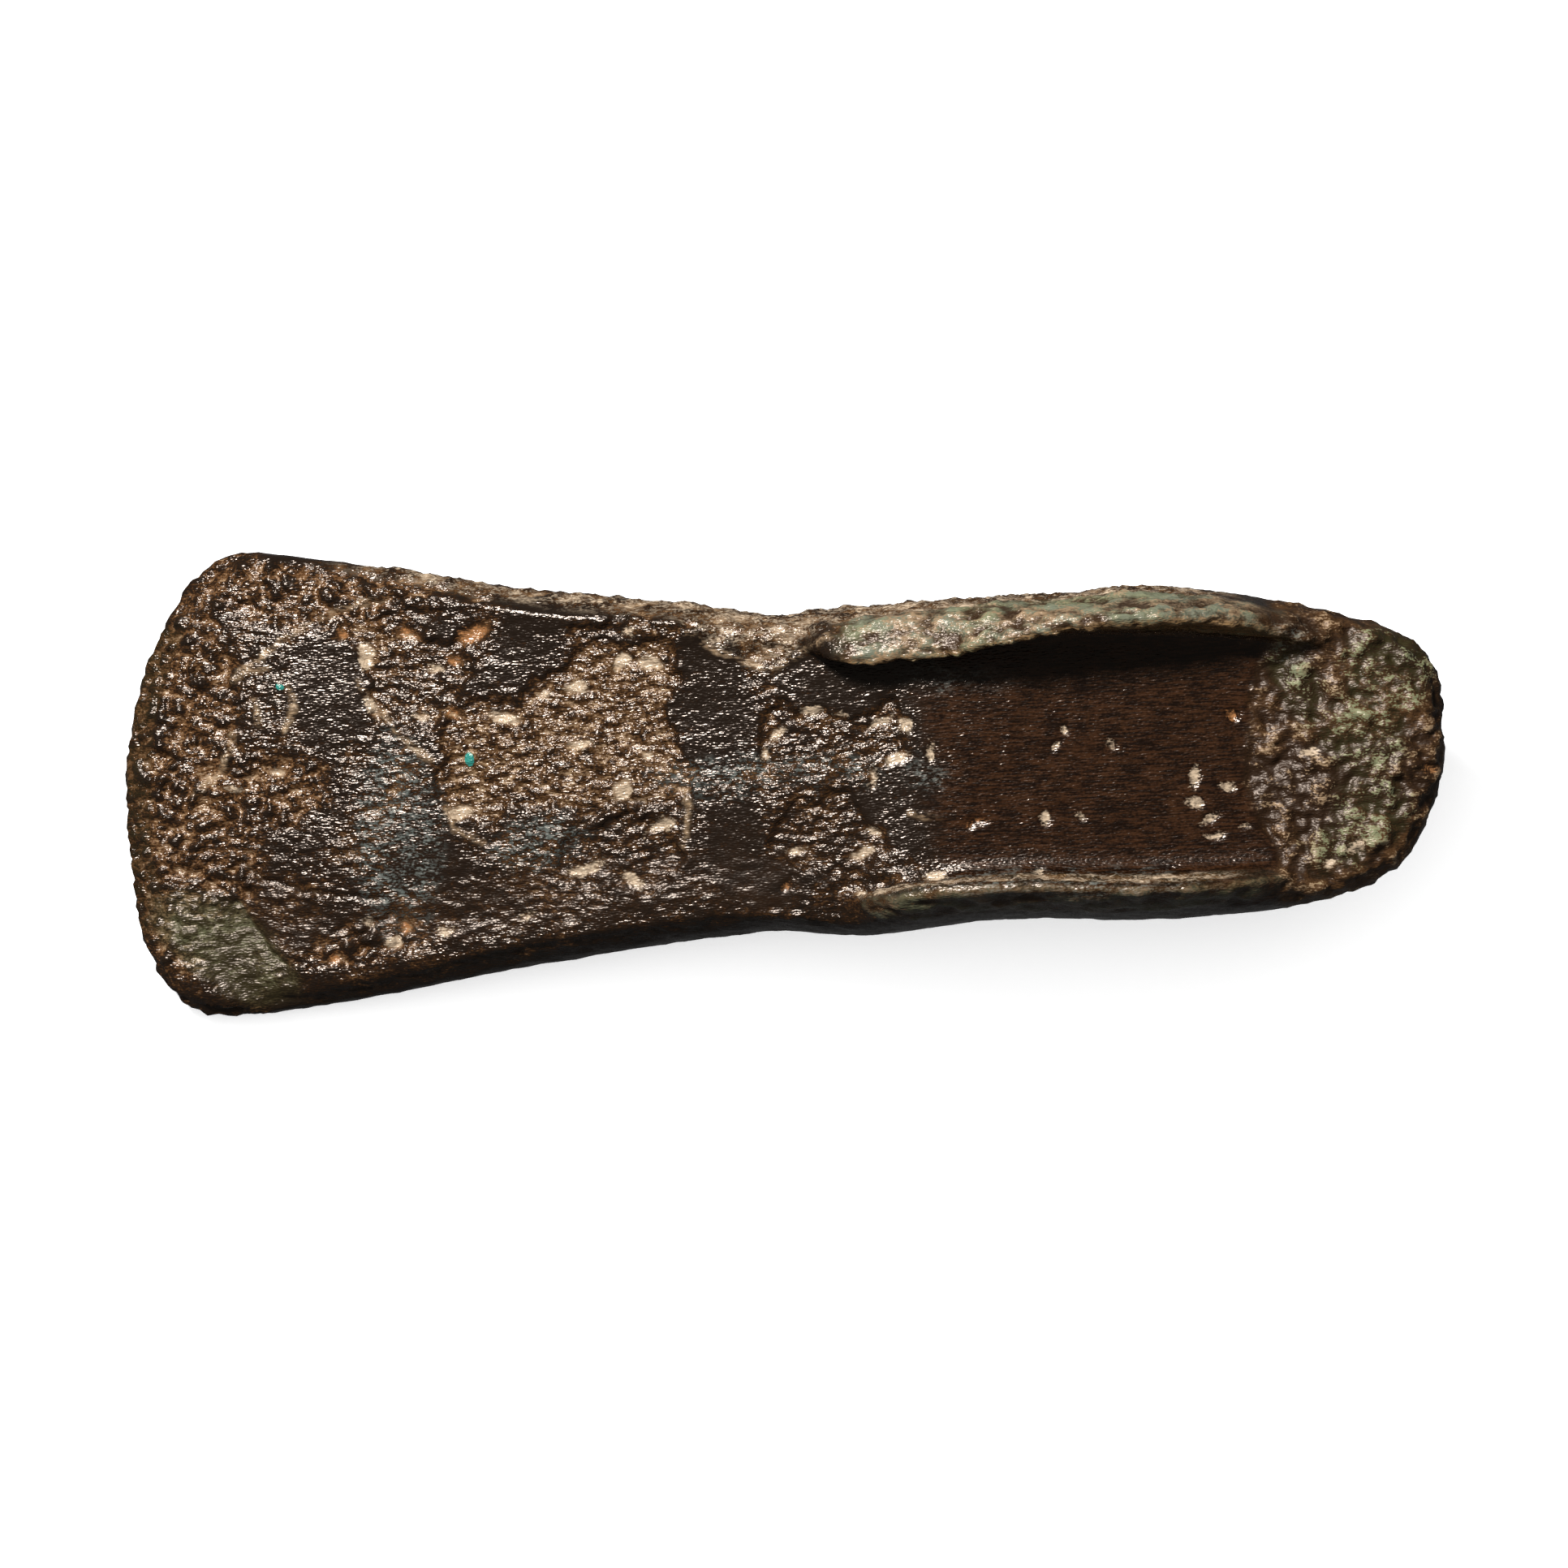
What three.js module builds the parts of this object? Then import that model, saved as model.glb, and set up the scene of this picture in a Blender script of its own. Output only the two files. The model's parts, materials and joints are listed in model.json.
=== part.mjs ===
// A bronze winged axe head that lies on its back face: one casting, in one solid.
// Millimetres, +Z up. The blade points to -X and the butt to +X, and the folded wing is on the +Y side.
// The origin is under the middle of the axe, on the surface that it lies on.
import * as THREE from "three";
import { mergeVertices } from "three/addons/utils/BufferGeometryUtils.js";

// Stations along the axe are measured from the cutting edge
const LENGTH = 151;
const CREST = 92; // where the blade's slope ends and the haft bed begins

// Half the thickness of the web, which is the axe without its wings
const EDGE_HALF = 2.5; // at the cutting edge, before its bevel
const CREST_HALF = 6.5;
const BUTT_HALF = 3.7;
const CREST_BLEND = 1.2; // the two slopes meet in a round where they differ by less than this
const EDGE_BEVEL = { length: 7, thin: 0.2 }; // thin is the share of the thickness left at the end
const BUTT_BEVEL = { length: 8, thin: 0.4 };

// Half the width, out to the widest part of each side: flared blade, worn waist, haft end, butt
const HALF_WIDTH = {
  far: through([0, 26.2], [15, 26.2], [30, 24.2], [50, 20.3], [64, 18.7], [75, 16.8], [86, 17.9],
    [115, 18.4], [127, 17.4], [138, 14.9], [151, 11.4]),
  near: through([0, 26.2], [13, 26.2], [30, 24.3], [50, 21.2], [72, 18.9], [85, 19.9], [100, 18.6],
    [120, 19.2], [134, 18.1], [142, 16.1], [151, 13.2]),
};

// How far the sides and the ends bulge out between their arrises
const BULGE = through([0, 0.8], [20, 1.8], [78, 1.7], [92, 0.8], [130, 0.8], [151, 1]);
const LIP = through([15, 0], [45, 0.6], [76, 0.9], [90, 0]); // height of the blade's raised rims

// Both ends curve back towards their corners, each side with a curve of its own, which fades out
const EDGE_CURVE = { reach: 48, far: { back: 14.5, power: 1.8 }, near: { back: 12, power: 3 } };
const BUTT_CURVE = { reach: 34, far: { back: 5.5, power: 3 }, near: { back: 9, power: 2 } };

// A wing is a strip that stands on the edge of the web and bends in over the haft bed.
// rise is its height along the bend, bend is in degrees, root and rim are half its thickness.
const FOLDED_WING = {
  rise: through([78, 0], [84, 4.6], [92, 5.8], [100, 6.9], [112, 7.8], [124, 6.6], [134, 2.6], [143, 0]),
  bend: through([80, 60], [88, 96], [94, 92], [101, 58], [108, 34], [116, 20], [130, 8]),
  root: 1.9,
  rim: 1.1,
};
const UPRIGHT_WING = {
  rise: through([80, 0], [92, 4.4], [108, 5.2], [121, 4.6], [133, 1.6], [142, 0]),
  bend: through([80, 30], [100, 20], [125, 10]),
  root: 2.4,
  rim: 0.9,
};
const BACK_WING = {
  rise: through([79, 0], [87, 4.8], [104, 5.4], [122, 4.4], [134, 1.4], [142, 0]),
  bend: through([80, 24], [130, 12]),
  root: 2,
  rim: 1.3,
};
const WINGS = {
  front: { far: FOLDED_WING, near: UPRIGHT_WING },
  back: { far: BACK_WING, near: BACK_WING },
};
const HEEL_FILLET = 2.2; // from the bed's edge to the wing's foot
const HEEL_TOP = 0.35; // share of the rise where the fillet runs into the wing
const FULL_RISE = 2.5; // a wing has its whole section once it rises this high

// The axe lies on the edge of its blade and on its back wings, which are worn flat where they touch
const BLADE_TOUCHES = 30; // the blade touches before this station
const WORN_FLAT = 0.45; // depth of the flats

// Steps of the mesh: along the axe in even runs, from the axis to a side, and through the side
const STATIONS = evenRuns(
  [BULGE(0), 4], [8, 14], [78, 12], [90, 4], [98, 9], [131, 8], [143, 5], [LENGTH - BULGE(LENGTH)],
);
const BED_STEPS = 5;
const FILLET_STEPS = 3;
const INNER_STEPS = 3;
const RIM_STEPS = 4;
const OUTER_STEPS = 3;
const WING_STEPS = FILLET_STEPS + INNER_STEPS + RIM_STEPS + OUTER_STEPS;
const HALF_STEPS = BED_STEPS + WING_STEPS;
const SIDE_STEPS = 4;

const BRONZE = new THREE.MeshStandardMaterial({ color: 0x4a3826, roughness: 0.5, metalness: 0.3 });

// A smooth curve of value over station through [station, value] knots, level past its ends.
function through(...knots) {
  const curve = new THREE.CubicInterpolant(knots.map(([at]) => at), knots.map(([, value]) => value), 1, [0]);
  curve.settings = { endingStart: THREE.ZeroSlopeEnding, endingEnd: THREE.ZeroSlopeEnding };
  return (station) => curve.evaluate(station)[0];
}

// Stations from [start, steps] runs, each of which ends where the next one starts.
function evenRuns(...runs) {
  return runs.flatMap(([start, steps], i) => {
    if (!steps) return [start];
    return Array.from({ length: steps }, (_, k) => THREE.MathUtils.lerp(start, runs[i + 1][0], k / steps));
  });
}

// The smaller of two values, rounded off by up to the blend where they cross.
function roundedMin(a, b, blend) {
  return Math.min(a, b) - (Math.max(blend - Math.abs(a - b), 0) ** 2) / (4 * blend);
}

// Share of the thickness left at a distance from an end: a quarter ellipse that reaches 1.
function bevelled(distance, { length, thin }) {
  const t = Math.min(distance / length, 1);
  return THREE.MathUtils.lerp(thin, 1, Math.sqrt(t * (2 - t)));
}

// Half the thickness of the web at a station.
function webHalf(station) {
  const blade = EDGE_HALF + ((CREST_HALF - EDGE_HALF) * station) / CREST;
  const haft = CREST_HALF - ((CREST_HALF - BUTT_HALF) * (station - CREST)) / (LENGTH - CREST);
  const bevels = bevelled(station, EDGE_BEVEL) * bevelled(LENGTH - station, BUTT_BEVEL);
  return roundedMin(blade, haft, CREST_BLEND) * bevels;
}

// How far an end's curve moves a point inwards, at a share of the half width and a distance from the end.
function setBack(curve, side, share, distance) {
  const { back, power } = curve[side];
  const fade = Math.max(1 - distance / curve.reach, 0) ** 2;
  return back * fade * (1 - (1 - share ** power) ** (1 / power));
}

// Angle by which an end's outline has turned towards the side, at a share of the half width.
function endTurn(curve, side, share, halfWidth) {
  const { back, power } = curve[side];
  const slope = back * share ** (power - 1) * (1 - share ** power) ** (1 / power - 1);
  return Math.atan(slope / halfWidth);
}

// [distance from the axis, height over the web] of a step on a wing's section, past the bed.
function wingPoint(step, station, edge, wing) {
  const rise = Math.max(wing.rise(station), 0);
  const bend = THREE.MathUtils.degToRad(wing.bend(station));
  const spine = (share) => [
    edge - wing.root - ((1 - Math.cos(bend * share)) * rise) / bend,
    (Math.sin(bend * share) * rise) / bend,
  ];
  const face = (share, side) => {
    const [reach, height] = spine(share);
    const half = THREE.MathUtils.lerp(wing.root, wing.rim, share) * side;
    return [reach + half * Math.cos(bend * share), height + half * Math.sin(bend * share)];
  };
  if (step <= FILLET_STEPS) {
    const foot = new THREE.Vector2(edge - 2 * wing.root, 0);
    const bedEnd = new THREE.Vector2(foot.x - HEEL_FILLET, 0);
    const fillet = new THREE.QuadraticBezierCurve(bedEnd, foot, new THREE.Vector2(...face(HEEL_TOP, -1)));
    return fillet.getPoint(step / FILLET_STEPS).toArray();
  }
  step -= FILLET_STEPS;
  if (step <= INNER_STEPS) return face(THREE.MathUtils.lerp(HEEL_TOP, 1, step / INNER_STEPS), -1);
  step -= INNER_STEPS;
  if (step <= RIM_STEPS) {
    const [reach, height] = spine(1);
    const turn = (Math.PI * step) / RIM_STEPS - bend;
    return [reach - wing.rim * Math.cos(turn), height + wing.rim * Math.sin(turn)];
  }
  step -= RIM_STEPS;
  return face(1 - step / OUTER_STEPS, 1);
}

// Share of the half width at which a step lies on a face without wings.
function flatShare(station, steps, side, wing) {
  const bedShare = 1 - (2 * wing.root + HEEL_FILLET) / HALF_WIDTH[side](station);
  if (steps <= BED_STEPS) return (bedShare * steps) / BED_STEPS;
  return THREE.MathUtils.lerp(bedShare, 1, (steps - BED_STEPS) / WING_STEPS);
}

// The point of the front or the back face at a station, some steps out from the axis to one side.
// The result is in the axe's own frame: x from the cutting edge, z from its middle plane.
function facePoint(station, steps, side, face) {
  const wing = WINGS[face][side];
  const share = flatShare(station, steps, side, wing);
  const x =
    station +
    setBack(EDGE_CURVE, side, share, station) -
    setBack(BUTT_CURVE, side, share, LENGTH - station);
  const edge = HALF_WIDTH[side](x) - BULGE(station);
  const flat = new THREE.Vector2(share * edge, LIP(station) * share ** 6);
  if (steps > BED_STEPS) {
    const shows = THREE.MathUtils.smoothstep(wing.rise(station), 0, FULL_RISE);
    flat.lerp(new THREE.Vector2(...wingPoint(steps - BED_STEPS, station, edge, wing)), shows);
  }
  const y = side === "far" ? flat.x : -flat.x;
  const z = webHalf(station) + flat.y;
  return new THREE.Vector3(x, y, face === "front" ? z : -z);
}

// Direction, in plan, in which a side or an end bulges out at a step.
function bulgeDirection(station, steps, side) {
  const outwards = side === "far" ? 1 : -1;
  const atEdge = station === STATIONS[0];
  if (!atEdge && station !== STATIONS.at(-1)) return new THREE.Vector3(0, outwards, 0);
  const share = flatShare(station, steps, side, WINGS.front[side]);
  const turn = endTurn(atEdge ? EDGE_CURVE : BUTT_CURVE, side, share, HALF_WIDTH[side](station));
  return new THREE.Vector3((atEdge ? -1 : 1) * Math.cos(turn), outwards * Math.sin(turn), 0);
}

// A box whose grid is laid over the axe: its top is the front face, its bottom the back face.
function axeGeometry() {
  const box = new THREE.BoxGeometry(1, 1, 1, STATIONS.length - 1, 2 * HALF_STEPS, SIDE_STEPS);
  box.deleteAttribute("normal");
  box.deleteAttribute("uv");
  const geometry = mergeVertices(box);
  const positions = geometry.getAttribute("position");
  const at = new THREE.Vector3();
  for (let i = 0; i < positions.count; i++) {
    at.fromBufferAttribute(positions, i);
    const station = STATIONS[Math.round((at.x + 0.5) * (STATIONS.length - 1))];
    const across = Math.round(at.y * 2 * HALF_STEPS);
    const side = across < 0 ? "near" : "far";
    const front = facePoint(station, Math.abs(across), side, "front");
    const point = facePoint(station, Math.abs(across), side, "back").lerp(front, at.z + 0.5);
    const bulge = (1 - (2 * at.z) ** 2) * BULGE(station);
    point.addScaledVector(bulgeDirection(station, Math.abs(across), side), bulge);
    positions.setXYZ(i, point.x, point.y, point.z);
  }
  return geometry;
}

// Lowest points of the blade and of the rest of the axe, once it is turned about Y.
function lowest(geometry, tilt) {
  const positions = geometry.getAttribute("position");
  const lows = { blade: Infinity, wings: Infinity };
  for (let i = 0; i < positions.count; i++) {
    const part = positions.getX(i) < BLADE_TOUCHES ? "blade" : "wings";
    const z = positions.getZ(i) * Math.cos(tilt) + positions.getX(i) * Math.sin(tilt);
    lows[part] = Math.min(lows[part], z);
  }
  return lows;
}

// Turns the axe until its blade and its back wings touch the surface together.
function restTilt(geometry) {
  let [low, high] = [0, THREE.MathUtils.degToRad(15)];
  for (let i = 0; i < 40; i++) {
    const middle = (low + high) / 2;
    const { blade, wings } = lowest(geometry, middle);
    if (wings < blade) low = middle;
    else high = middle;
  }
  return low;
}

// Lays the axe down and wears a flat on whatever would reach below the surface.
function layDown(geometry) {
  const tilt = restTilt(geometry);
  const { blade } = lowest(geometry, tilt);
  geometry.rotateY(-tilt);
  geometry.translate(0, 0, -blade - WORN_FLAT);
  const positions = geometry.getAttribute("position");
  for (let i = 0; i < positions.count; i++) positions.setZ(i, Math.max(positions.getZ(i), 0));
  geometry.computeBoundingBox();
  const middle = geometry.boundingBox.getCenter(new THREE.Vector3());
  geometry.translate(-middle.x, -middle.y, 0);
}

const geometry = axeGeometry();
layDown(geometry);
const axeHead = new THREE.Mesh(geometry, BRONZE);
axeHead.name = "axe_head";

const group = new THREE.Group();
group.add(axeHead);

export default group;
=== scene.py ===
"""A worn and corroded bronze winged axe head, lying on a plain pale floor."""

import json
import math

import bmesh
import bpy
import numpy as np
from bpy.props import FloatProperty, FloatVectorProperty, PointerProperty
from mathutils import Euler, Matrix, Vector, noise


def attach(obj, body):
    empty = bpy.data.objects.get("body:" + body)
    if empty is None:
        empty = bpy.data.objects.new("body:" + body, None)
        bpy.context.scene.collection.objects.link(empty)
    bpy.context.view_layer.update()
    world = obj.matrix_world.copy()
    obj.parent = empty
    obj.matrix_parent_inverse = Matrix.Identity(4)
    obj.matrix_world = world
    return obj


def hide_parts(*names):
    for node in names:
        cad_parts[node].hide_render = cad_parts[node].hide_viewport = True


bl_info = {
    "name": "Bronze winged axe head",
    "version": (1, 0, 0),
    "blender": (4, 5, 0),
    "location": "3D View > Sidebar > Axe head",
    "description": "Gives a cast axe head its flaked, pitted and patinated surface, and sets the stage",
    "category": "Object",
}

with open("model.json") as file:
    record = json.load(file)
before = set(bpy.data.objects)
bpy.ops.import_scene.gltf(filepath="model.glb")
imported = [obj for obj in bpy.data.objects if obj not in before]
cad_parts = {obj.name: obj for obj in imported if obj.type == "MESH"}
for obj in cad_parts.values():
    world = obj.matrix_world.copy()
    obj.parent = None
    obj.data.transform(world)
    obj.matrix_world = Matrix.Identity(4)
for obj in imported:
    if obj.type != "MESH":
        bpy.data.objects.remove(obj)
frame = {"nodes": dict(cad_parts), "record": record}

MM = 0.001
NODE = "axe_head"
BED = next(mount for mount in frame["record"]["mounts"] if mount["name"] == "haft_bed_upper")
ASKEW = np.array(Euler((0.6, 0.4, 0.7)).to_matrix())  # turns the even noise away from the axes

# Stations along the axe, in millimetres.
BLADE_START = -70
BLADE_END = 14
BED_START = 15
BED_END = 52
WING_START = 6
WING_END = 58
FAR_WALL_START = -54
FAR_WALL_END = 55

# Depths and heights on the surface, in millimetres.
LIP_WIDTH = 2.7
LEDGE_HEIGHT = 0.06
CRACK_DEPTH = 0.35
CREAM_DEPTH = 0.15
ORANGE_DEPTH = 0.4
TEAL_HEIGHT = 0.35
SIDE_SWELL = 0.45
FAR_WING_TRIM = 0.65
MOST_CROWN = 1.2
NEAR_SIDE_WEAR = 0.8

NEAR_WING_CRUST = 0.35  # share of the wing's crust that the near wing has

# The stage, in metres.
KEY_PLACE = (-0.28, 0.44, 0.62)
WASH_HEIGHT = 1.5
WASH_SIZE = 3
FLOOR_HALF = 4
CAMERA_X, CAMERA_Y = 0.0006, -0.0023

# Where things are on the front face, seen from above, in millimetres:
# middle x and y, half length and half width, and turn in degrees.
PITTED = (
    (-69.5, 4, 8.5, 27, 0), (-55, 24, 17, 6, -8), (-65, -8, 6, 7, 20), (-57, -1, 6, 4.5, 0),
    (-48, -18.5, 9, 2.6, 8), (-33, 22, 6, 1.6, -8), (-44, 20.5, 5, 1.5, -8),
)
FLAKED = (
    (-24.5, 3.5, 13.5, 8, 0), (-20, 10, 5.5, 5, 30), (-14.5, 9, 4.6, 6, 0), (-30, 8, 5, 3.5, 30),
    (-33.5, -0.5, 5.5, 4.5, 20), (-14.5, -0.5, 5, 5, 0), (-46.8, 15, 2.4, 5.5, 10),
    (-46.2, 8.5, 1.6, 3, 25), (-36, 21.8, 9, 1.6, -8),
)
NOTCH = ((-4.5, 17, 8, 3.6, -20), (2, 17, 7, 3.4, 24), (-0.5, 13.6, 3.4, 3, 0))
THINNED = (
    (-41, 12.5, 6.5, 7, 0), (-18, -9.5, 7.5, 4.2, -5), (2, 3, 5.5, 4, 0), (11, 2, 6, 4.6, 0),
    (6, -8.5, 7, 5, 0), (-46, -17.8, 4, 2, 8), (9, -14, 4, 1.2, 0), (-20, 17, 4, 2, 0),
)
SOUND = (
    (-50.8, 10, 4.6, 7, 0), (-28.2, 15.2, 3.6, 7, -24), (-25, 18.4, 7, 1.9, -4),
    (-37, 16.5, 2.5, 1.6, 0), (-33.2, 10.4, 3.4, 1.5, 20), (-7, 6.5, 4.6, 8.5, 6),
    (-5, -7.5, 3.5, 4, 0), (9, 9.5, 9, 3.6, 8), (14, -5, 4.5, 6, 30), (-2, -13, 4, 3, 0),
    (-40, -10, 5, 3, 0), (17, 5, 3, 8, 0),
)
OLIVE = ((-64, -18.8, 9, 4.4, -35), (-68.5, -16, 3, 3, 0))
VERDIGRIS = (
    (-43.5, -6, 4.5, 10, 0), (-6, -1, 6, 2, 0), (-28, -7.6, 4.5, 2.2, 10), (17, -1.6, 1.6, 1, 0),
    (3.5, -0.8, 2.5, 0.8, 0), (9, -1, 1, 0.8, 0), (20, 9, 3, 0.8, -5), (36, -14.6, 6, 0.8, -3),
    (24, -14.2, 4, 0.8, 0), (33, -15.4, 3, 0.8, 0), (58, 11.5, 1.3, 2.2, 0),
)
CREAM_SPOTS = (
    (-17, 12.3, 1.2, 0.9, 45), (-13.8, 11.8, 1.3, 0.9, 0), (-26, 8.9, 0.6, 0.5, 0),
    (-22.5, 9.5, 1.6, 0.8, 0), (-31, 6.6, 1.8, 0.7, -20), (-22.5, 3, 1.5, 0.7, 0),
    (-17.8, -2.2, 1.5, 1.1, 40), (-36.5, -4, 1.7, 0.9, 10), (-14.8, 1.5, 0.7, 0.5, 0),
    (-13.5, -6.6, 1.8, 0.7, 20), (-17, -12.4, 1.5, 0.7, -25), (-22, -11, 2.2, 0.8, 15),
    (-16.3, 15.6, 0.9, 0.5, 0), (-46.6, 14, 0.9, 1.5, 0), (-46.2, 8.2, 0.7, 1.6, 25),
    (-62.5, -0.6, 1.2, 0.4, 0), (-57.5, 1.2, 0.9, 0.6, 0), (-40.6, 7, 0.8, 0.5, 0),
    (-38.6, 12, 1, 0.5, 0), (13.2, 0.1, 1.6, 0.8, 12), (14.4, 3.8, 1.1, 0.7, -40),
    (11.6, 4.4, 1.2, 0.4, 20), (0, 3.4, 1.2, 0.6, 35), (-1.6, 1.2, 0.6, 0.8, 0), (4, 5.9, 1, 0.6, 0),
    (7.2, 5.5, 0.8, 0.4, 0), (10.5, -1.8, 0.5, 1, 0), (17.2, 0.4, 0.5, 1.1, 0),
    (10.3, -8.3, 0.8, 0.5, -20), (9.2, -10.6, 1.4, 0.7, 10), (1.7, -9.8, 1.2, 0.5, 0),
    (17, -13.5, 1.3, 0.6, 0), (28.6, -13.6, 0.8, 0.5, 0), (32.5, 2.5, 0.5, 0.4, 0),
    (31.2, 0.8, 0.6, 0.25, 45), (37.5, 0.7, 0.7, 0.4, -30), (29.7, -7.4, 0.8, 0.8, 0),
    (33.8, -7.4, 0.5, 0.4, -30), (46.5, -3.3, 0.7, 1.1, 0), (46.7, -5.9, 1.1, 0.7, -10),
    (50.5, -4.3, 0.8, 0.5, 0), (48, -8, 1.1, 0.35, 35), (52, -8.8, 0.7, 0.3, 0),
    (48.6, -9.9, 1.2, 0.5, 0), (-38.5, -17.6, 1, 0.6, 0), (-47.3, -16.2, 0.9, 0.5, 0),
    (-44.6, -18.6, 0.9, 0.9, 0), (-29.5, -16.3, 1, 0.5, 0), (9, -15, 0.8, 0.5, 0),
    (64, -11.6, 1.5, 0.7, 15), (61.2, -13.6, 0.8, 0.6, 0), (59.4, -1, 0.9, 0.6, 0),
)
ORANGE_SPOTS = (
    (-34.2, 16, 2, 1, 35), (-36.4, 13.2, 0.9, 0.5, 10), (-36.7, 7.1, 0.9, 0.7, -20),
    (-49.3, 16.5, 0.8, 0.8, 0), (-41.6, 16.6, 1.6, 0.7, -20), (-51.4, -20.5, 0.8, 1.1, 0),
    (0.7, -13.5, 0.8, 0.5, 0), (51.5, 3.7, 0.8, 0.7, 0), (-43, -17.2, 0.8, 0.8, 0),
    (72.8, -3.4, 0.9, 0.8, 0), (22.5, -16.7, 0.9, 0.3, 0), (22, -7.6, 1.2, 0.4, 15),
)
TEAL_GRAINS = ((-35.1, 1.9, 0.65, 0.85, 0), (-56.5, 11, 0.6, 0.4, -10))
GREEN_BUTT = (
    (68.5, 8, 5, 5.5, 0), (58, 7, 2.3, 4.5, 20), (65.5, 1, 5, 4.5, 0), (66.5, -7.5, 4, 4, 0),
    (62, -11.5, 3, 2.5, 0),
)
DULL = ((-26, -14.2, 27, 3.4, 6), (-58, -15, 6, 4, -30), (-3, -14, 6, 3, 0))
# Lines on the front face: points along each, in millimetres.
LEDGES = (
    ((-44, 20.3), (-46, 20.2), (-51.2, 19.1), (-54.4, 17.4), (-56.7, 15.6), (-58.6, 14.6), (-62, 12.2)),
    ((-58.1, 13.5), (-60.4, 12.8), (-62.3, 12)), ((-62, 5.9), (-62.5, 4.2), (-63.9, 1.2), (-67.3, -1)),
    ((-55.8, 10.7), (-54.9, 9.4), (-54.8, 8.2), (-56.2, 6.1)), ((-59.5, 9.6), (-59.3, 7.9), (-59.6, 7)),
    ((-10.8, -2.9), (-10.3, -4.7), (-10.8, -8.4)),
    ((-10, 15), (-5, 12.4), (0, 10.3), (3, 12), (6.5, 14.3)),
    ((-47.5, 11.5), (-45.5, 8), (-43, 5), (-39.5, 2)),
    ((-38, -3.4), (-37, -6), (-34, -7.4)), ((26.5, 5.5), (26, 1), (25.5, -2)),
    ((18, -1.5), (20.5, -3), (24, -3.5)), ((15, -6.3), (19, -6.8), (24, -6.8)),
)
CRACKS = (
    ((-63, -13.5), (-61, -16.2), (-58.5, -19.5), (-57, -21)), ((-62, -9), (-55, -12.5), (-45, -13.6)),
    ((-24, -6.5), (-18.5, -3.6), (-15, -4)),
)


class PatinaSettings(bpy.types.PropertyGroup):
    """Sizes and colours of the axe head's surface."""

    voxel: FloatProperty(
        name="Grain", description="Size of the grid that the surface is cut on",
        default=0.27 * MM, unit="LENGTH")
    flake_depth: FloatProperty(
        name="Flake depth", description="How deep the dark skin has come away",
        default=0.45 * MM, unit="LENGTH")
    pit_depth: FloatProperty(
        name="Pit depth", description="Depth of the corrosion pits", default=0.6 * MM, unit="LENGTH")
    ripple: FloatProperty(
        name="Ripple", description="Strength of the fine ripples on the skin, as a height",
        default=0.08 * MM, unit="LENGTH")
    skin: FloatVectorProperty(
        name="Skin", description="Dark patina where it is whole", subtype="COLOR",
        default=(0.0095, 0.0055, 0.0033))
    wax: FloatVectorProperty(
        name="Wax", description="Tint of the gloss", subtype="COLOR", default=(1.0, 0.84, 0.72))
    bed: FloatVectorProperty(
        name="Bed", description="Patina of the hafting bed", subtype="COLOR",
        default=(0.005, 0.0017, 0.0006))
    bed_streaks: FloatVectorProperty(
        name="Bed streaks", description="Fine streaks along the hafting bed", subtype="COLOR",
        default=(0.038, 0.0145, 0.0052))
    gilt: FloatVectorProperty(
        name="Gilt", description="Golden brown crests of the wings", subtype="COLOR",
        default=(0.24, 0.14, 0.06))
    brown: FloatVectorProperty(
        name="Brown", description="Ridges where the skin has gone", subtype="COLOR",
        default=(0.02, 0.0085, 0.003))
    umber: FloatVectorProperty(
        name="Umber", description="Slopes where the skin has gone", subtype="COLOR",
        default=(0.08, 0.037, 0.013))
    tan: FloatVectorProperty(
        name="Tan", description="Hollows where the skin has gone, and crust", subtype="COLOR",
        default=(0.3, 0.2, 0.115))
    rust: FloatVectorProperty(
        name="Rust", description="Slopes in the pitted part of the blade", subtype="COLOR",
        default=(0.11, 0.05, 0.018))
    cream: FloatVectorProperty(
        name="Cream", description="Pale mineral spots and the far side", subtype="COLOR",
        default=(0.5, 0.38, 0.26))
    orange: FloatVectorProperty(
        name="Orange", description="Orange mineral spots", subtype="COLOR", default=(0.34, 0.15, 0.055))
    green: FloatVectorProperty(
        name="Green", description="Pale green corrosion", subtype="COLOR", default=(0.2, 0.205, 0.11))
    olive: FloatVectorProperty(
        name="Olive", description="Olive patch on the blade", subtype="COLOR",
        default=(0.026, 0.02, 0.006))
    verdigris: FloatVectorProperty(
        name="Verdigris", description="Blue-grey bloom", subtype="COLOR", default=(0.13, 0.15, 0.135))
    teal: FloatVectorProperty(
        name="Teal", description="Bright corrosion grains", subtype="COLOR", default=(0.03, 0.22, 0.18))


class StageSettings(bpy.types.PropertyGroup):
    """Floor, light and camera."""

    floor: FloatVectorProperty(
        name="Floor", description="Colour of the floor", subtype="COLOR", default=(0.85, 0.85, 0.85))
    key: FloatProperty(
        name="Key light", description="Strength of the key light", default=12.0, unit="POWER")
    key_size: FloatProperty(
        name="Key size", description="Width of the key light", default=0.18, unit="LENGTH")
    wash: FloatProperty(
        name="Floor wash", description="Strength of the soft light on the floor alone",
        default=45.0, unit="POWER")
    glow: FloatProperty(name="Floor glow", description="Light that the floor itself gives", default=0.34)
    fill: FloatProperty(name="Fill light", description="Strength of the light all round", default=0.1)
    camera_height: FloatProperty(
        name="Camera height", description="Height of the camera over the floor",
        default=0.7, unit="LENGTH")
    lens: FloatProperty(name="Lens", description="Focal length", default=139.2, unit="CAMERA")
    roll: FloatProperty(
        name="Roll", description="Turn of the camera about its line of sight",
        default=math.radians(-2.2),
        subtype="ANGLE")


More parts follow.
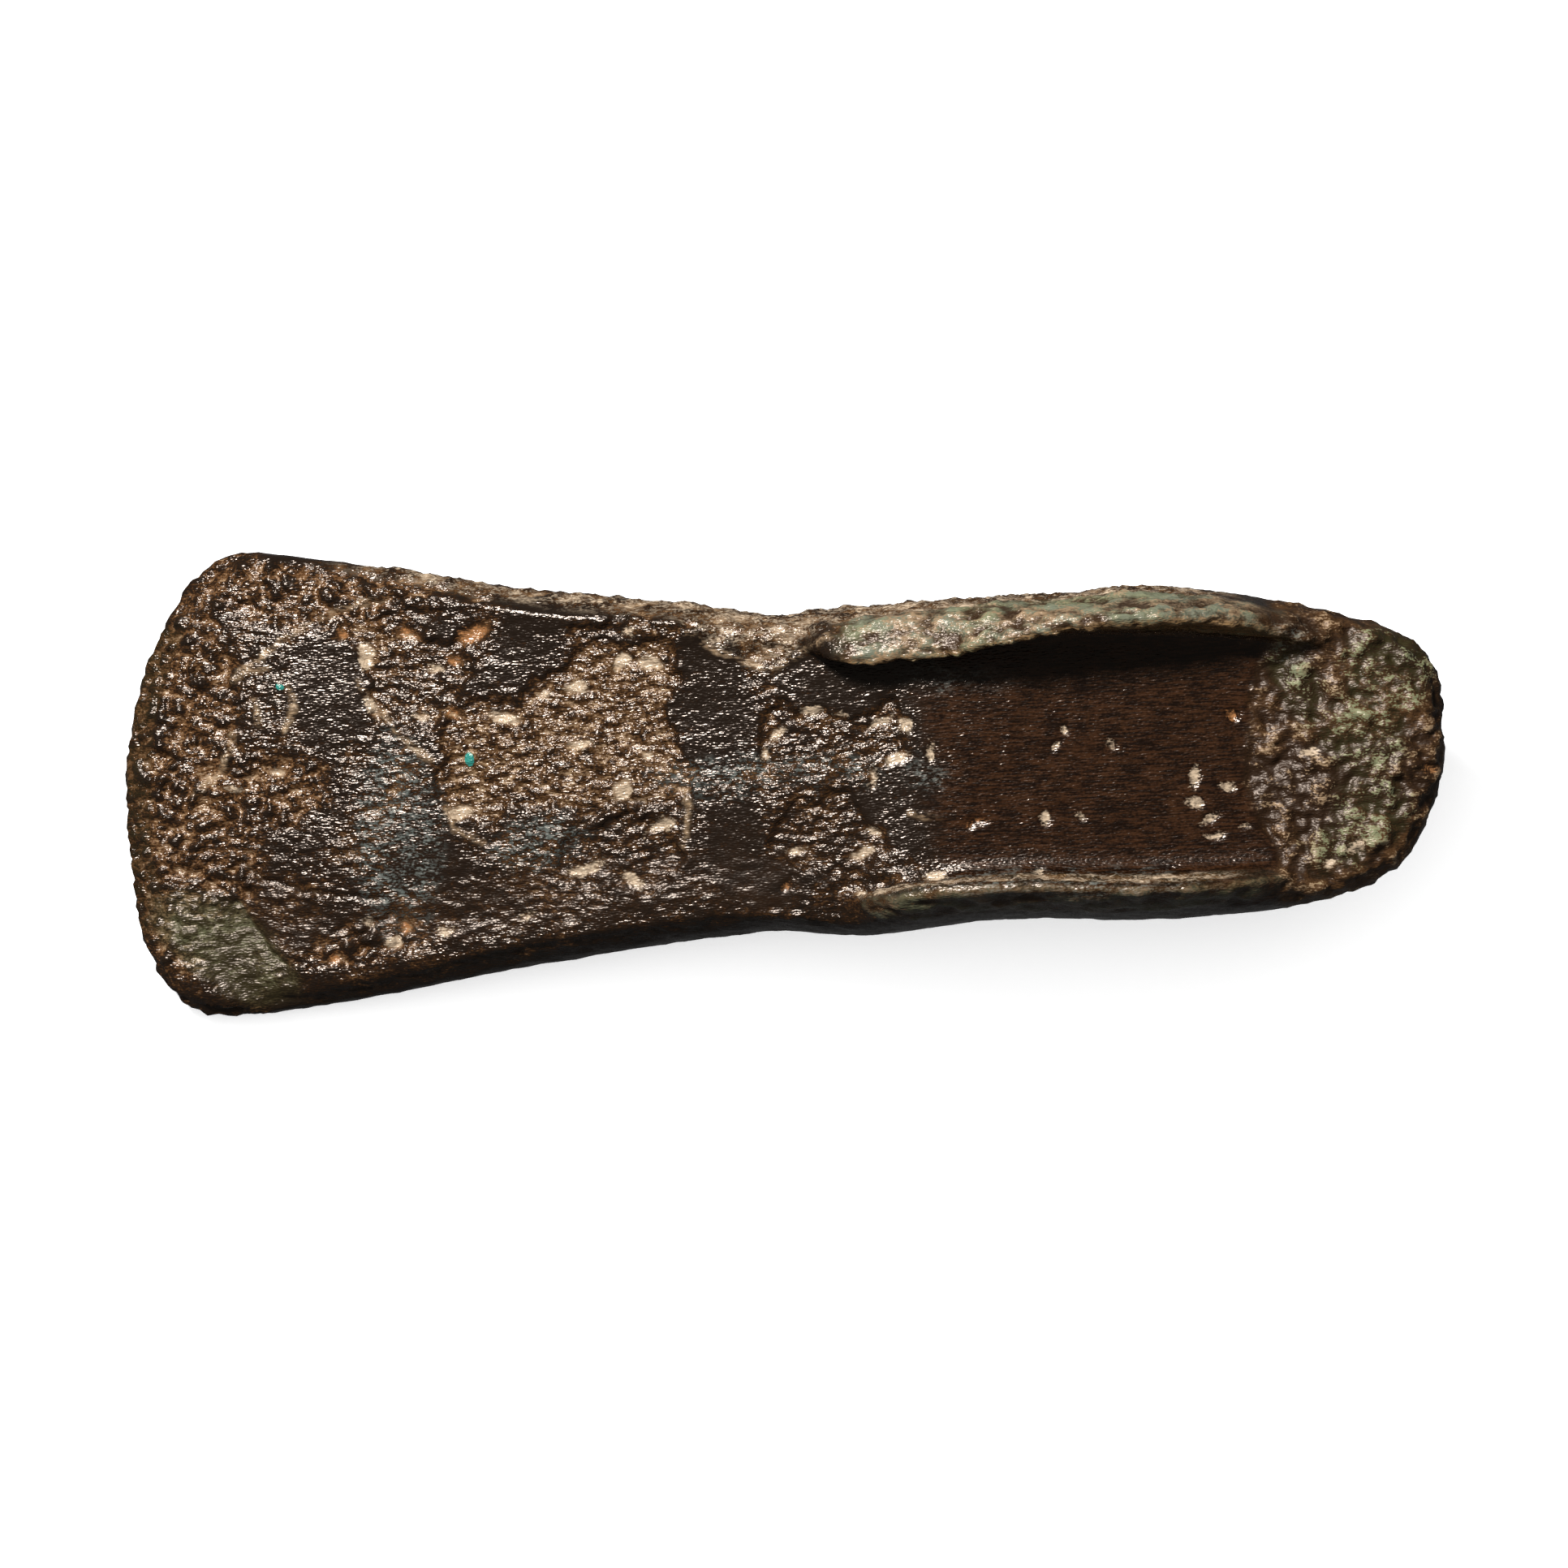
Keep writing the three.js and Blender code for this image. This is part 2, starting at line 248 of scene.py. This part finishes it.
def noise_at(points, size, seed):
    """Smooth noise from about -1 to 1 at points, a different one for each seed.

    Its lumps have one size in millimetres, or one along each axis.
    """
    if np.ndim(size) == 0:
        points = points @ ASKEW
    places = points / np.array(size) + seed * np.array((17.3, 31.7, 11.9))
    return np.array([noise.noise(place) for place in places.tolist()])


def pits_at(points, size, seed, share):
    """Steep pits about a size apart: 1 on a pit's floor and 0 outside. A greater share makes them wider."""
    places = points / np.array((1.3, 1, 1)) / size + seed * 7.7
    reach = np.empty(len(points))
    for i, place in enumerate(places.tolist()):
        distances, centres = noise.voronoi(place)
        reach[i] = share + 0.5 * noise.cell(centres[0] * 9.1) - distances[0]
    return smooth(reach, -0.1, 0.25)


def smooth(values, low, high):
    """0 below low, 1 above high, and a smooth rise between them."""
    share = np.clip((values - low) / (high - low), 0, 1)
    return share * share * (3 - 2 * share)


def inside(places, patches):
    """How far places lie inside the nearest of some patches, in millimetres, and negative outside them."""
    depth = np.full(len(places), -99.0)
    for x, y, half_length, half_width, turn in patches:
        c, s = math.cos(math.radians(turn)), math.sin(math.radians(turn))
        dx, dy = places[:, 0] - x, places[:, 1] - y
        reach = np.hypot((dx * c + dy * s) / half_length, (dy * c - dx * s) / half_width)
        depth = np.maximum(depth, (1 - reach) * min(half_length, half_width))
    return depth


def along(places, lines):
    """How far places are from the nearest of some lines, in millimetres."""
    gap = np.full(len(places), 99.0)
    for line in lines:
        for start, end in zip(np.array(line[:-1], float), np.array(line[1:], float)):
            run = end - start
            share = np.clip((places - start) @ run / (run @ run), 0, 1)
            gap = np.minimum(gap, np.linalg.norm(places - start - share[:, None] * run, axis=1))
    return gap


def from_edge(points, axis):
    """How far points are from the cutting edge (axis 0), or from the near side (axis 1), in millimetres."""
    rows = np.round(points[:, 1 - axis]).astype(int)
    edge = {row: points[rows == row, axis].min() for row in np.unique(rows)}
    known = np.array(sorted(edge))
    return points[:, axis] - np.interp(points[:, 1 - axis], known, [edge[row] for row in known])


def blank_mesh(voxel):
    """A copy of the cast head's mesh, rounded and cut on a fine even grid."""
    mesh = frame["nodes"][NODE].data.copy()
    form = bmesh.new()
    form.from_mesh(mesh)
    bmesh.ops.remove_doubles(form, verts=form.verts, dist=0.002 * MM)
    bmesh.ops.join_triangles(form, faces=form.faces, angle_face_threshold=0.7, angle_shape_threshold=1.2)
    form.to_mesh(mesh)
    form.free()
    blank = bpy.data.objects.new("blank", mesh)
    bpy.context.collection.objects.link(blank)
    rounding = blank.modifiers.new("Rounding", "SUBSURF")
    rounding.levels = rounding.render_levels = 2
    grid = blank.modifiers.new("Grid", "REMESH")
    grid.mode, grid.voxel_size = "VOXEL", voxel
    fine = bpy.data.meshes.new_from_object(blank.evaluated_get(bpy.context.evaluated_depsgraph_get()))
    bpy.data.objects.remove(blank)
    return fine


def surface_zones(points, normals):
    """Where each kind of surface is: shares from 0 to 1, and for spots their depth in millimetres."""
    x, y = points[:, 0], points[:, 1]
    wander = np.column_stack([
        1.3 * noise_at(points, 3.7, seed) + 0.8 * noise_at(points, 1.3, seed + 1) for seed in (1, 3)
    ])
    places = points[:, :2] + wander
    close = points[:, :2] + 0.45 * wander
    front = smooth(normals[:, 2], 0.3, 0.6)
    back = smooth(-normals[:, 2], 0.1, 0.5)
    far_wall = smooth(normals[:, 1], 0.1, 0.5) * (1 - front)
    far_wall = far_wall * smooth(x, FAR_WALL_START, FAR_WALL_START + 14) * smooth(FAR_WALL_END - x, 0, 10)
    bed_height = (points - np.array(BED["pos_m"]) / MM) @ np.array(BED["axis"])
    crest = smooth(bed_height, 0.7, 1.6) * smooth(x, WING_START, WING_START + 4)
    crest = crest * smooth(-x, -WING_END, 6 - WING_END)
    crest = crest * (1 - 0.8 * (smooth(normals[:, 1], 0.2, 0.5) * (y < 0)))
    wing = crest * np.where(y > 0, 1, NEAR_WING_CRUST)
    gilt = wing * np.where(y > 0, smooth(-normals[:, 1], 0.0, 0.5), smooth(normals[:, 2], 0.8, 0.95))
    bed_end = BED_END + 0.25 * np.abs(y + 1) + 1.2 * noise_at(points, 3.5, 5)
    patchy = smooth(noise_at(points, 11, 6) + 0.5 * noise_at(points, 4, 7), 0.1, 0.16)
    edge = from_edge(points, 0) + 0.5 * noise_at(points, 4, 15)
    sound_depth, bright_depth = inside(places, SOUND), inside(places, FLAKED + NOTCH)
    flaked_depth = np.minimum(np.maximum(bright_depth, inside(places, THINNED)), -sound_depth)
    bright = smooth(np.minimum(bright_depth, -sound_depth), -0.5, 1)
    pitted_depth = np.minimum(inside(places, PITTED), -sound_depth)
    sound = smooth(sound_depth, -0.1, 0.35) * front
    flaked = smooth(flaked_depth, -0.1, 0.35) * front
    pitted = np.maximum(smooth(pitted_depth, -1, 1.5) * front, smooth(-x, 56, 62) * (1 - front))
    ledge = (1 - smooth(along(close, LEDGES), 0.1, 0.55)) * front
    crack = (1 - smooth(along(close, CRACKS), 0.05, 0.45)) * front
    bed = smooth(places[:, 0] + 1.5 * noise_at(points, 4, 19), BED_START, BED_START + 4.5)
    bed = bed * smooth(bed_end - x, -0.3, 0.3) * (1 - wing) * front
    butt = smooth(x - bed_end, -0.9, 0.9) * (1 - 0.6 * back)
    lit = np.maximum(front, far_wall)
    notch = 0.8 * smooth(inside(places, NOTCH), -0.6, 0.8) * front
    # Painted shade: the blade's front is made darker and browner toward its near side, where less light
    # falls on it.
    shaded_near_half = 0.3 * smooth(-y, 0, 9) * smooth(BLADE_END + 1 - x, 0, 5)
    bare = 0.42 + 0.35 * noise_at(points, 5, 16)
    for zone, share in (
        (1 - front, 0.28), (far_wall, 0.8), (smooth(sound_depth, -1.2, 1.4) * front, 0.08), (pitted, 0.7),
        (smooth(flaked_depth, -1, 1) * lit, 0.52), (smooth(flaked_depth, -0.8, 0.8) * lit * bright, 0.8),
        (back, 0.3), (patchy * back, 0.75), (bed, 0.12), (butt, 0.5), (wing, 0.7),
    ):
        bare = bare + (share - bare) * zone
    return {
        "front": front,
        "bare": bare,
        "sound": sound,
        "flaked": np.maximum(flaked, patchy * back),
        "pitted": pitted,
        "wing": wing,
        "crest": crest,
        "gilt": gilt,
        "far_wall": np.maximum(far_wall * (1 - back), notch),
        "bed": bed,
        "butt": butt,
        "ledge": ledge * (1 - 0.5 * bed),
        # Rougher brown patches along the near side, together with the painted shade of the blade's near
        # half.
        "dull_and_shaded": np.maximum(smooth(inside(places, DULL), -1.5, 1), shaded_near_half) * front,
        "crack": crack,
        "lip": smooth(LIP_WIDTH - edge, -0.2, 0.2) * smooth(20 - np.abs(y - 1), 0, 4),
        "olive": smooth(inside(places, OLIVE), -1.2, 1.6) * front,
        "verdigris": smooth(inside(places, VERDIGRIS), -1.6, 1.2) * front,
        "green": smooth(inside(places, GREEN_BUTT), -1.5, 1.2),
        "cream": inside(close, CREAM_SPOTS) * front - (1 - front),
        "orange": inside(close, ORANGE_SPOTS) * front - (1 - front),
        "teal": inside(points[:, :2], TEAL_GRAINS) * front - (1 - front),
    }


def relief(points, normals, zones, flake_depth, pit_depth):
    """Height of the corroded surface over the cast one, and its fine part alone, in millimetres."""
    front, bare, pitted, butt = (zones[name] for name in ("front", "bare", "pitted", "butt"))
    lumps = 0.2 * noise_at(points, 13, 8) + 0.1 * noise_at(points, 5, 9)
    ripples = noise_at(points, (1.9, 0.6, 0.6), 10)
    grit = noise_at(points, (0.9, 0.55, 0.55), 11)
    calm = 1 - 0.85 * zones["bed"]
    knobs = 2 * np.abs(noise_at(points, 1.7, 20)) - 0.4
    small_pits = pits_at(points, 1.7, 13, 0.14)
    large_pits = pits_at(points, 3, 12, 0.1)
    detail = (0.02 + 0.36 * bare) * ripples + (0.01 + 0.3 * bare) * grit
    detail += 0.2 * (1 - front) * noise_at(points, (2.4, 1.5, 1.5), 17)
    detail *= calm
    pocked = np.maximum(pitted, 0.8 * np.clip(bare - 0.2, 0, 1)) * calm * (1 - 0.8 * zones["wing"])
    pits = pocked * pit_depth * (0.5 * small_pits + 0.7 * large_pits - 0.3)
    detail += pocked * pit_depth * 0.7 * knobs * (0.35 + 0.65 * pitted) - 0.4 * pits
    detail += LEDGE_HEIGHT * zones["ledge"] - CRACK_DEPTH * zones["crack"]
    detail += butt * (0.7 * noise_at(points, 2.4, 14) + 0.4 * noise_at(points, 1.1, 21))
    folds = noise_at(points, (2.8, 1.5, 1.5), 18)
    detail += zones["crest"] * (0.4 * folds + 0.12 * noise_at(points, 0.9, 25))
    detail += 1.4 * front * (1 - front) * noise_at(points, 1.4, 26)
    seams = noise_at(points, (3, 1.2, 1.2), 23)
    detail += 0.3 * zones["far_wall"] * (seams + 0.6 * noise_at(points, 0.8, 24))
    detail *= 0.55 + 0.45 * np.maximum(front, zones["far_wall"])
    cream, orange = smooth(zones["cream"], -0.2, 0.2), smooth(zones["orange"], -0.4, 0.6)
    detail -= CREAM_DEPTH * cream + ORANGE_DEPTH * orange
    detail += TEAL_HEIGHT * smooth(zones["teal"], -0.1, 0.3)
    detail *= 1 - 0.2 * zones["olive"]
    step = np.maximum.reduce([zones["flaked"], 0.8 * pitted, 0.5 * butt, 1.1 * zones["olive"]]) * front
    step = np.maximum(step, 1.2 * zones["lip"] * front)
    x, y = points[:, 0], points[:, 1]
    swell = SIDE_SWELL * smooth(-x, 0, 6) * smooth(x, BLADE_START, BLADE_START + 6)
    swell = swell - FAR_WING_TRIM * smooth(x, 2, 12) * smooth(40 - x, 0, 8) * (y > 0)
    lumps = lumps * (1 - 0.5 * zones["bed"])
    lumps = lumps + swell * np.abs(normals[:, 1]) * (1 - front)
    return lumps - flake_depth * step + detail - 0.6 * pits, detail


def worn(points, normals):
    """How far points sink where the blade's front is worn down toward its long sides, in millimetres.

    Its back face stays, and what is between the faces sinks in proportion.
    """
    x, y, z = points.T
    rows = np.round(x).astype(int)
    known = np.arange(BLADE_START, BLADE_END + 1)
    back, front = (
        np.interp(x, known, [np.median(z[(rows == row) & (side * normals[:, 2] > 0.5)]) for row in known])
        for side in (-1, 1)
    )
    crown = np.minimum(np.where(y < 0, 0.0045, 0.0008) * y * y, MOST_CROWN) * smooth(x, -72, -60)
    near = from_edge(points, 1) + 0.8 * noise_at(points, 4, 22)
    crown += NEAR_SIDE_WEAR * (1 - smooth(near, 0.5, 5)) * smooth(x, -66, -56)
    return crown * smooth(BLADE_END - x, 0, 8) * np.clip((z - back) / (front - back), 0, 1)


def corrode(mesh, flake_depth, pit_depth):
    """Moves a mesh's vertices to the corroded surface and stores the material's zones as attributes."""
    count = len(mesh.vertices)
    points, normals = np.empty(count * 3, np.float32), np.empty(count * 3, np.float32)
    mesh.vertices.foreach_get("co", points)
    mesh.vertices.foreach_get("normal", normals)
    points = points.reshape(-1, 3).astype(float) / MM
    normals = normals.reshape(-1, 3).astype(float)
    zones = surface_zones(points, normals)
    height, zones["relief"] = relief(points, normals, zones, flake_depth / MM, pit_depth / MM)
    del zones["flaked"], zones["crest"]  # the material doesn't read these two
    wear = worn(points, normals)
    points += normals * height[:, None]
    points[:, 2] -= wear
    points[:, 2] = np.maximum(points[:, 2], 0)
    mesh.vertices.foreach_set("co", (points * MM).astype(np.float32).ravel())
    for name, values in zones.items():
        attribute = mesh.attributes.new(name, "FLOAT", "POINT")
        attribute.data.foreach_set("value", np.clip(values, -3, 3).astype(np.float32))
    mesh.update()


def thinned(mesh, most_triangles):
    """The same mesh with no more than a number of triangles, the front kept finer than the rest."""
    dense = bpy.data.objects.new("dense", mesh)
    bpy.context.collection.objects.link(dense)
    front = np.empty(len(mesh.vertices), np.float32)
    mesh.attributes["front"].data.foreach_get("value", front)
    group = dense.vertex_groups.new(name="Thinning")
    group.add(np.flatnonzero(front > 0.5).tolist(), 0.3, "REPLACE")
    group.add(np.flatnonzero(front <= 0.5).tolist(), 0.6, "REPLACE")
    thinner = dense.modifiers.new("Thinner", "DECIMATE")
    mesh.calc_loop_triangles()
    thinner.ratio = min(1, most_triangles / len(mesh.loop_triangles))
    thinner.vertex_group = group.name
    kept = bpy.data.meshes.new_from_object(dense.evaluated_get(bpy.context.evaluated_depsgraph_get()))
    bpy.data.objects.remove(dense)
    return kept


class Value:
    """A socket that Python's operators work on: each one adds a Math node."""

    def __init__(self, finish, socket):
        self.finish = finish
        self.socket = socket

    def maths(self, operation, *operands):
        """A new Math node's result."""
        return self.finish.node("ShaderNodeMath", {"operation": operation}, dict(enumerate(operands)))

    def __add__(self, other):
        return self.maths("ADD", self, other)

    def __radd__(self, other):
        return self.maths("ADD", other, self)

    def __sub__(self, other):
        return self.maths("SUBTRACT", self, other)

    def __rsub__(self, other):
        return self.maths("SUBTRACT", other, self)

    def __mul__(self, other):
        return self.maths("MULTIPLY", self, other)

    def __rmul__(self, other):
        return self.maths("MULTIPLY", other, self)

    def rise(self, low, high):
        """0 below low, 1 above high, and a smooth rise between them."""
        return self.finish.node(
            "ShaderNodeMapRange", {"interpolation_type": "SMOOTHSTEP"},
            {"Value": self, "From Min": low, "From Max": high})

    def mix(self, colour, other):
        """The first colour where the value is 0, and the other where it is 1."""
        return self.finish.node(
            "ShaderNodeMix", {"data_type": "RGBA"}, {0: self, 6: colour, 7: other}, output=2)


class Finish:
    """A material and the nodes that make it."""

    def __init__(self, name):
        self.material = bpy.data.materials.new(name)
        self.material.use_nodes = True
        self.tree = self.material.node_tree
        self.shader = self.tree.nodes["Principled BSDF"]
        self.place = self.node("ShaderNodeTexCoord", output="Object")

    def node(self, kind, settings=None, inputs=None, output=0):
        """The output of a new node, after its settings and then its inputs are set or linked."""
        node = self.tree.nodes.new(kind)
        for name, setting in (settings or {}).items():
            setattr(node, name, setting)
        for name, value in (inputs or {}).items():
            self.feed(node.inputs[name], value)
        return Value(self, node.outputs[output])

    def feed(self, socket, value):
        """Links a value to a socket, or sets the socket to a number, a vector or a colour."""
        if isinstance(value, Value):
            self.tree.links.new(value.socket, socket)
        elif socket.type == "RGBA" and len(value) == 3:
            socket.default_value = (*value, 1)
        else:
            socket.default_value = value

    def zone(self, name):
        """One of the surface's zones."""
        return self.node("ShaderNodeAttribute", {"attribute_name": name}, output="Fac")

    def noise(self, size, seed, detail=3.0):
        """Noise from about -0.5 to 0.5, with lumps of a size in millimetres along each axis."""
        place = self.node(
            "ShaderNodeMapping", {"vector_type": "POINT"},
            {"Vector": self.place, "Location": (seed, seed, seed), "Scale": [1 / (s * MM) for s in size]})
        noise_inputs = {"Vector": place, "Scale": 1.0, "Detail": detail}
        return self.node("ShaderNodeTexNoise", None, noise_inputs) - 0.5


def patina(settings):
    """Waxed bronze patina: dark skin, flaked and pitted ground, mineral spots and green corrosion."""
    finish = Finish("patinated_bronze")
    cloud = finish.noise((9, 6, 6), 1)
    tint = finish.noise((3, 2, 2), 2)
    mottle = finish.noise((1.6, 0.9, 0.9), 3)
    ripple = finish.noise((1.0, 0.3, 0.3), 4)
    grain = finish.noise((0.36, 0.22, 0.22), 5)
    bare, bed, sound = finish.zone("bare"), finish.zone("bed"), finish.zone("sound")
    wing, butt, green = finish.zone("wing"), finish.zone("butt"), finish.zone("green")
    level = 2 * finish.zone("relief") + 2.6 * ripple + 3.2 * grain + 2 * mottle
    hollow = 2.2 * bare - 1.9 - level + 1.5 * tint

    umber = (finish.zone("pitted") + cloud + tint).rise(0.1, 1.0).mix(settings.umber, settings.rust)
    pale = (2.4 * tint + mottle + 2 * grain).rise(0.1, 0.9).mix(settings.tan, settings.cream)
    colour = hollow.rise(-1.4, -0.4).mix(settings.skin, settings.brown)
    colour = hollow.rise(-0.7, 0.2).mix(colour, umber)
    colour = hollow.rise(0.0, 1.0).mix(colour, pale)
    colour = (finish.zone("ledge") * (0.4 + 3 * ripple + 2.5 * tint)).mix(colour, pale)
    fleck = 0.2 + 3 * ripple + 3 * grain + 3 * tint + 1.5 * mottle
    colour = (finish.zone("far_wall") * fleck).mix(colour, settings.cream)
    dull_and_shaded = finish.zone("dull_and_shaded")
    # Browner where the rough patches along the near side are, and browner again toward the blade's near
    # half as painted shade.
    colour = (dull_and_shaded * (0.3 + 1.5 * tint + ripple)).mix(colour, settings.brown)
    colour = (0.8 * finish.zone("crack")).mix(colour, settings.skin)
    lip = 0.35 * finish.zone("lip")
    colour = lip.mix(colour, (mottle + tint + grain).rise(-0.3, 0.3).mix(settings.skin, settings.olive))
    streaks = (2.5 * finish.noise((3, 0.22, 0.22), 8) + 1.5 * grain + 0.7 * mottle + tint).rise(-0.4, 0.6)
    colour = bed.mix(colour, streaks.mix(settings.bed, settings.bed_streaks))

    lump = 0.5 * level + 1.2 * tint + 0.7 * mottle
    earth = (2.5 * cloud + lump).rise(-0.3, 0.8).mix(settings.brown, umber)
    crust = (green * (1.0 + 2 * ripple + 3 * grain)).mix(settings.tan, settings.green)
    crusted = (1.3 * lump + grain + 0.3 * green).rise(0.45, 1.0)
    butt_colour = crusted.mix((green * lump.rise(0.1, -0.5)).mix(earth, settings.olive), crust)
    colour = butt.mix(colour, butt_colour)
    leaf = (0.55 * (2 * cloud - tint).rise(-0.4, 0.4)).mix(settings.green, settings.verdigris)
    leaf = (1.5 * cloud + 2 * tint + 1.5 * mottle + 2 * grain).rise(-0.2, 0.4).mix(leaf, settings.tan)
    fleck = 2.5 * ripple + 3 * grain + 2.5 * mottle + 2 * tint - 1.3 * level
    leaf = fleck.rise(-0.6, 0.6).mix(leaf, settings.brown)
    colour = (0.9 * wing).mix(colour, leaf)
    gilt = finish.zone("gilt") * (0.6 + 3 * grain + 2 * ripple + mottle)
    colour = gilt.mix(colour, settings.gilt)
    olive = finish.zone("olive") * (0.8 + 2 * tint + mottle)
    colour = olive.mix(colour, (0.42 * hollow.rise(-1.2, 0.4)).mix(settings.olive, settings.green))
    bloom = finish.zone("verdigris") * (2 * grain + 2 * ripple + 1.5 * mottle).rise(-0.1, 0.6)
    colour = (0.75 * bloom).mix(colour, settings.verdigris)
    wander = 0.5 * mottle + 0.6 * grain + 0.5 * ripple
    cream = (finish.zone("cream") + 1.5 * wander).rise(-0.1, 0.4)
    colour = ((0.8 + 1.5 * grain + ripple) * cream).mix(colour, settings.cream)
    orange = (finish.zone("orange") + 2 * wander).rise(0.0, 0.6)
    colour = ((0.7 + 2 * grain + ripple) * orange).mix(colour, settings.orange)
    colour = (finish.zone("teal") + 0.3 * wander).rise(0, 0.1).mix(colour, settings.teal)

    height = finish.noise((0.7, 0.19, 0.19), 6, 0.4) + 0.7 * finish.noise((0.36, 0.18, 0.18), 7, 0.4)
    strength = settings.ripple / MM * (0.95 + 0.5 * bare + 0.8 * tint)
    strength = strength * (1 - 0.3 * sound) * (1 - 0.38 * bed) * (1 - 0.15 * dull_and_shaded) * (1 - 0.2 * butt)
    matte = 0.06 * hollow.rise(0.2, 1.0) + 0.1 * wing + 0.2 * butt + 0.2 * bloom + 0.18 * olive + 0.1 * dull_and_shaded
    finish.feed(finish.shader.inputs["Base Color"], colour)
    finish.feed(finish.shader.inputs["Roughness"], 0.2 + matte + 0.15 * grain)
    finish.feed(finish.shader.inputs["Specular Tint"], settings.wax)
    bump = {"Height": height * strength, "Strength": 1.0, "Distance": 1.0 * MM}
    finish.feed(finish.shader.inputs["Normal"], finish.node("ShaderNodeBump", None, bump))
    return finish.material


class AXE_OT_head(bpy.types.Operator):
    """Makes the corroded surface of the axe head over its cast form"""

    bl_idname = "axe.head"
    bl_label = "Axe head"
    most_triangles = 190_000

    def execute(self, context):
        settings = context.scene.axe_patina
        dense = blank_mesh(settings.voxel)
        corrode(dense, settings.flake_depth, settings.pit_depth)
        mesh = thinned(dense, self.most_triangles)
        mesh.shade_smooth()
        mesh.materials.clear()
        mesh.materials.append(patina(settings))
        piece = bpy.data.objects.new("axe_head_surface", mesh)
        context.collection.objects.link(piece)
        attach(piece, "root")
        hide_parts(NODE)
        return {"FINISHED"}


class AXE_OT_stage(bpy.types.Operator):
    """Sets the floor, the lights and the camera"""

    bl_idname = "axe.stage"
    bl_label = "Stage"

    def execute(self, context):
        settings = context.scene.axe_stage
        lay_floor(settings)
        light_stage(settings)
        stand_camera(settings)
        return {"FINISHED"}


def lay_floor(settings):
    """A plain pale floor, far wider than the view."""
    form = bmesh.new()
    bmesh.ops.create_grid(form, x_segments=1, y_segments=1, size=FLOOR_HALF)
    mesh = bpy.data.meshes.new("floor")
    form.to_mesh(mesh)
    form.free()
    finish = Finish("pale_floor")
    finish.feed(finish.shader.inputs["Base Color"], settings.floor)
    finish.feed(finish.shader.inputs["Roughness"], 0.9)
    finish.feed(finish.shader.inputs["Emission Color"], (1, 1, 1))
    finish.feed(finish.shader.inputs["Emission Strength"], settings.glow)
    mesh.materials.append(finish.material)
    floor = bpy.data.objects.new("floor", mesh)
    floor.visible_diffuse = floor.visible_glossy = False
    bpy.context.collection.objects.link(floor)


def lamp(name, power, size, place):
    """A square area lamp that faces the origin."""
    light = bpy.data.lights.new(name, "AREA")
    light.energy, light.size = power, size
    stand = bpy.data.objects.new(name, light)
    bpy.context.collection.objects.link(stand)
    stand.location = Vector(place)
    stand.rotation_euler = (-stand.location).to_track_quat("-Z", "Y").to_euler()
    return stand


def light_stage(settings):
    """A key light from the far left, a wide lamp that lights only the floor, and dim light all round."""
    lamp("key", settings.key, settings.key_size, KEY_PLACE)
    wash = lamp("wash", settings.wash, WASH_SIZE, (0, 0, WASH_HEIGHT))
    wash.visible_glossy = wash.visible_camera = False
    receivers = bpy.data.collections.new("washed")
    receivers.objects.link(bpy.data.objects["floor"])
    wash.light_linking.receiver_collection = receivers
    world = bpy.data.worlds.new("studio")
    world.use_nodes = True
    background = world.node_tree.nodes["Background"]
    background.inputs["Color"].default_value = (1, 1, 1, 1)
    background.inputs["Strength"].default_value = settings.fill
    bpy.context.scene.world = world
    bpy.context.scene.view_settings.view_transform = "Standard"


def stand_camera(settings):
    """The camera looks straight down on the axe."""
    lens = bpy.data.cameras.new("camera")
    lens.lens = settings.lens
    lens.clip_start, lens.clip_end = 0.01, 20
    camera = bpy.data.objects.new("camera", lens)
    bpy.context.collection.objects.link(camera)
    camera.location = (CAMERA_X, CAMERA_Y, settings.camera_height)
    camera.rotation_euler = (0, 0, settings.roll)
    bpy.context.scene.camera = camera


class AXE_PT_panel(bpy.types.Panel):
    """The axe head's settings and steps"""

    bl_idname = "AXE_PT_panel"
    bl_label = "Axe head"
    bl_space_type = "VIEW_3D"
    bl_region_type = "UI"
    bl_category = "Axe head"

    def draw(self, context):
        for settings, operator in (
            (context.scene.axe_patina, AXE_OT_head),
            (context.scene.axe_stage, AXE_OT_stage),
        ):
            box = self.layout.box()
            for name in settings.bl_rna.properties.keys():
                if name not in ("rna_type", "name"):
                    box.prop(settings, name)
            box.operator(operator.bl_idname)


CLASSES = (PatinaSettings, StageSettings, AXE_OT_head, AXE_OT_stage, AXE_PT_panel)


def register():
    for item in CLASSES:
        bpy.utils.register_class(item)
    bpy.types.Scene.axe_patina = PointerProperty(type=PatinaSettings)
    bpy.types.Scene.axe_stage = PointerProperty(type=StageSettings)


def unregister():
    del bpy.types.Scene.axe_stage
    del bpy.types.Scene.axe_patina
    for item in reversed(CLASSES):
        bpy.utils.unregister_class(item)


def main():
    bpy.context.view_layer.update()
    register()
    bpy.ops.axe.head()
    bpy.ops.axe.stage()
    bpy.context.view_layer.update()


if __name__ == "__main__":
    main()
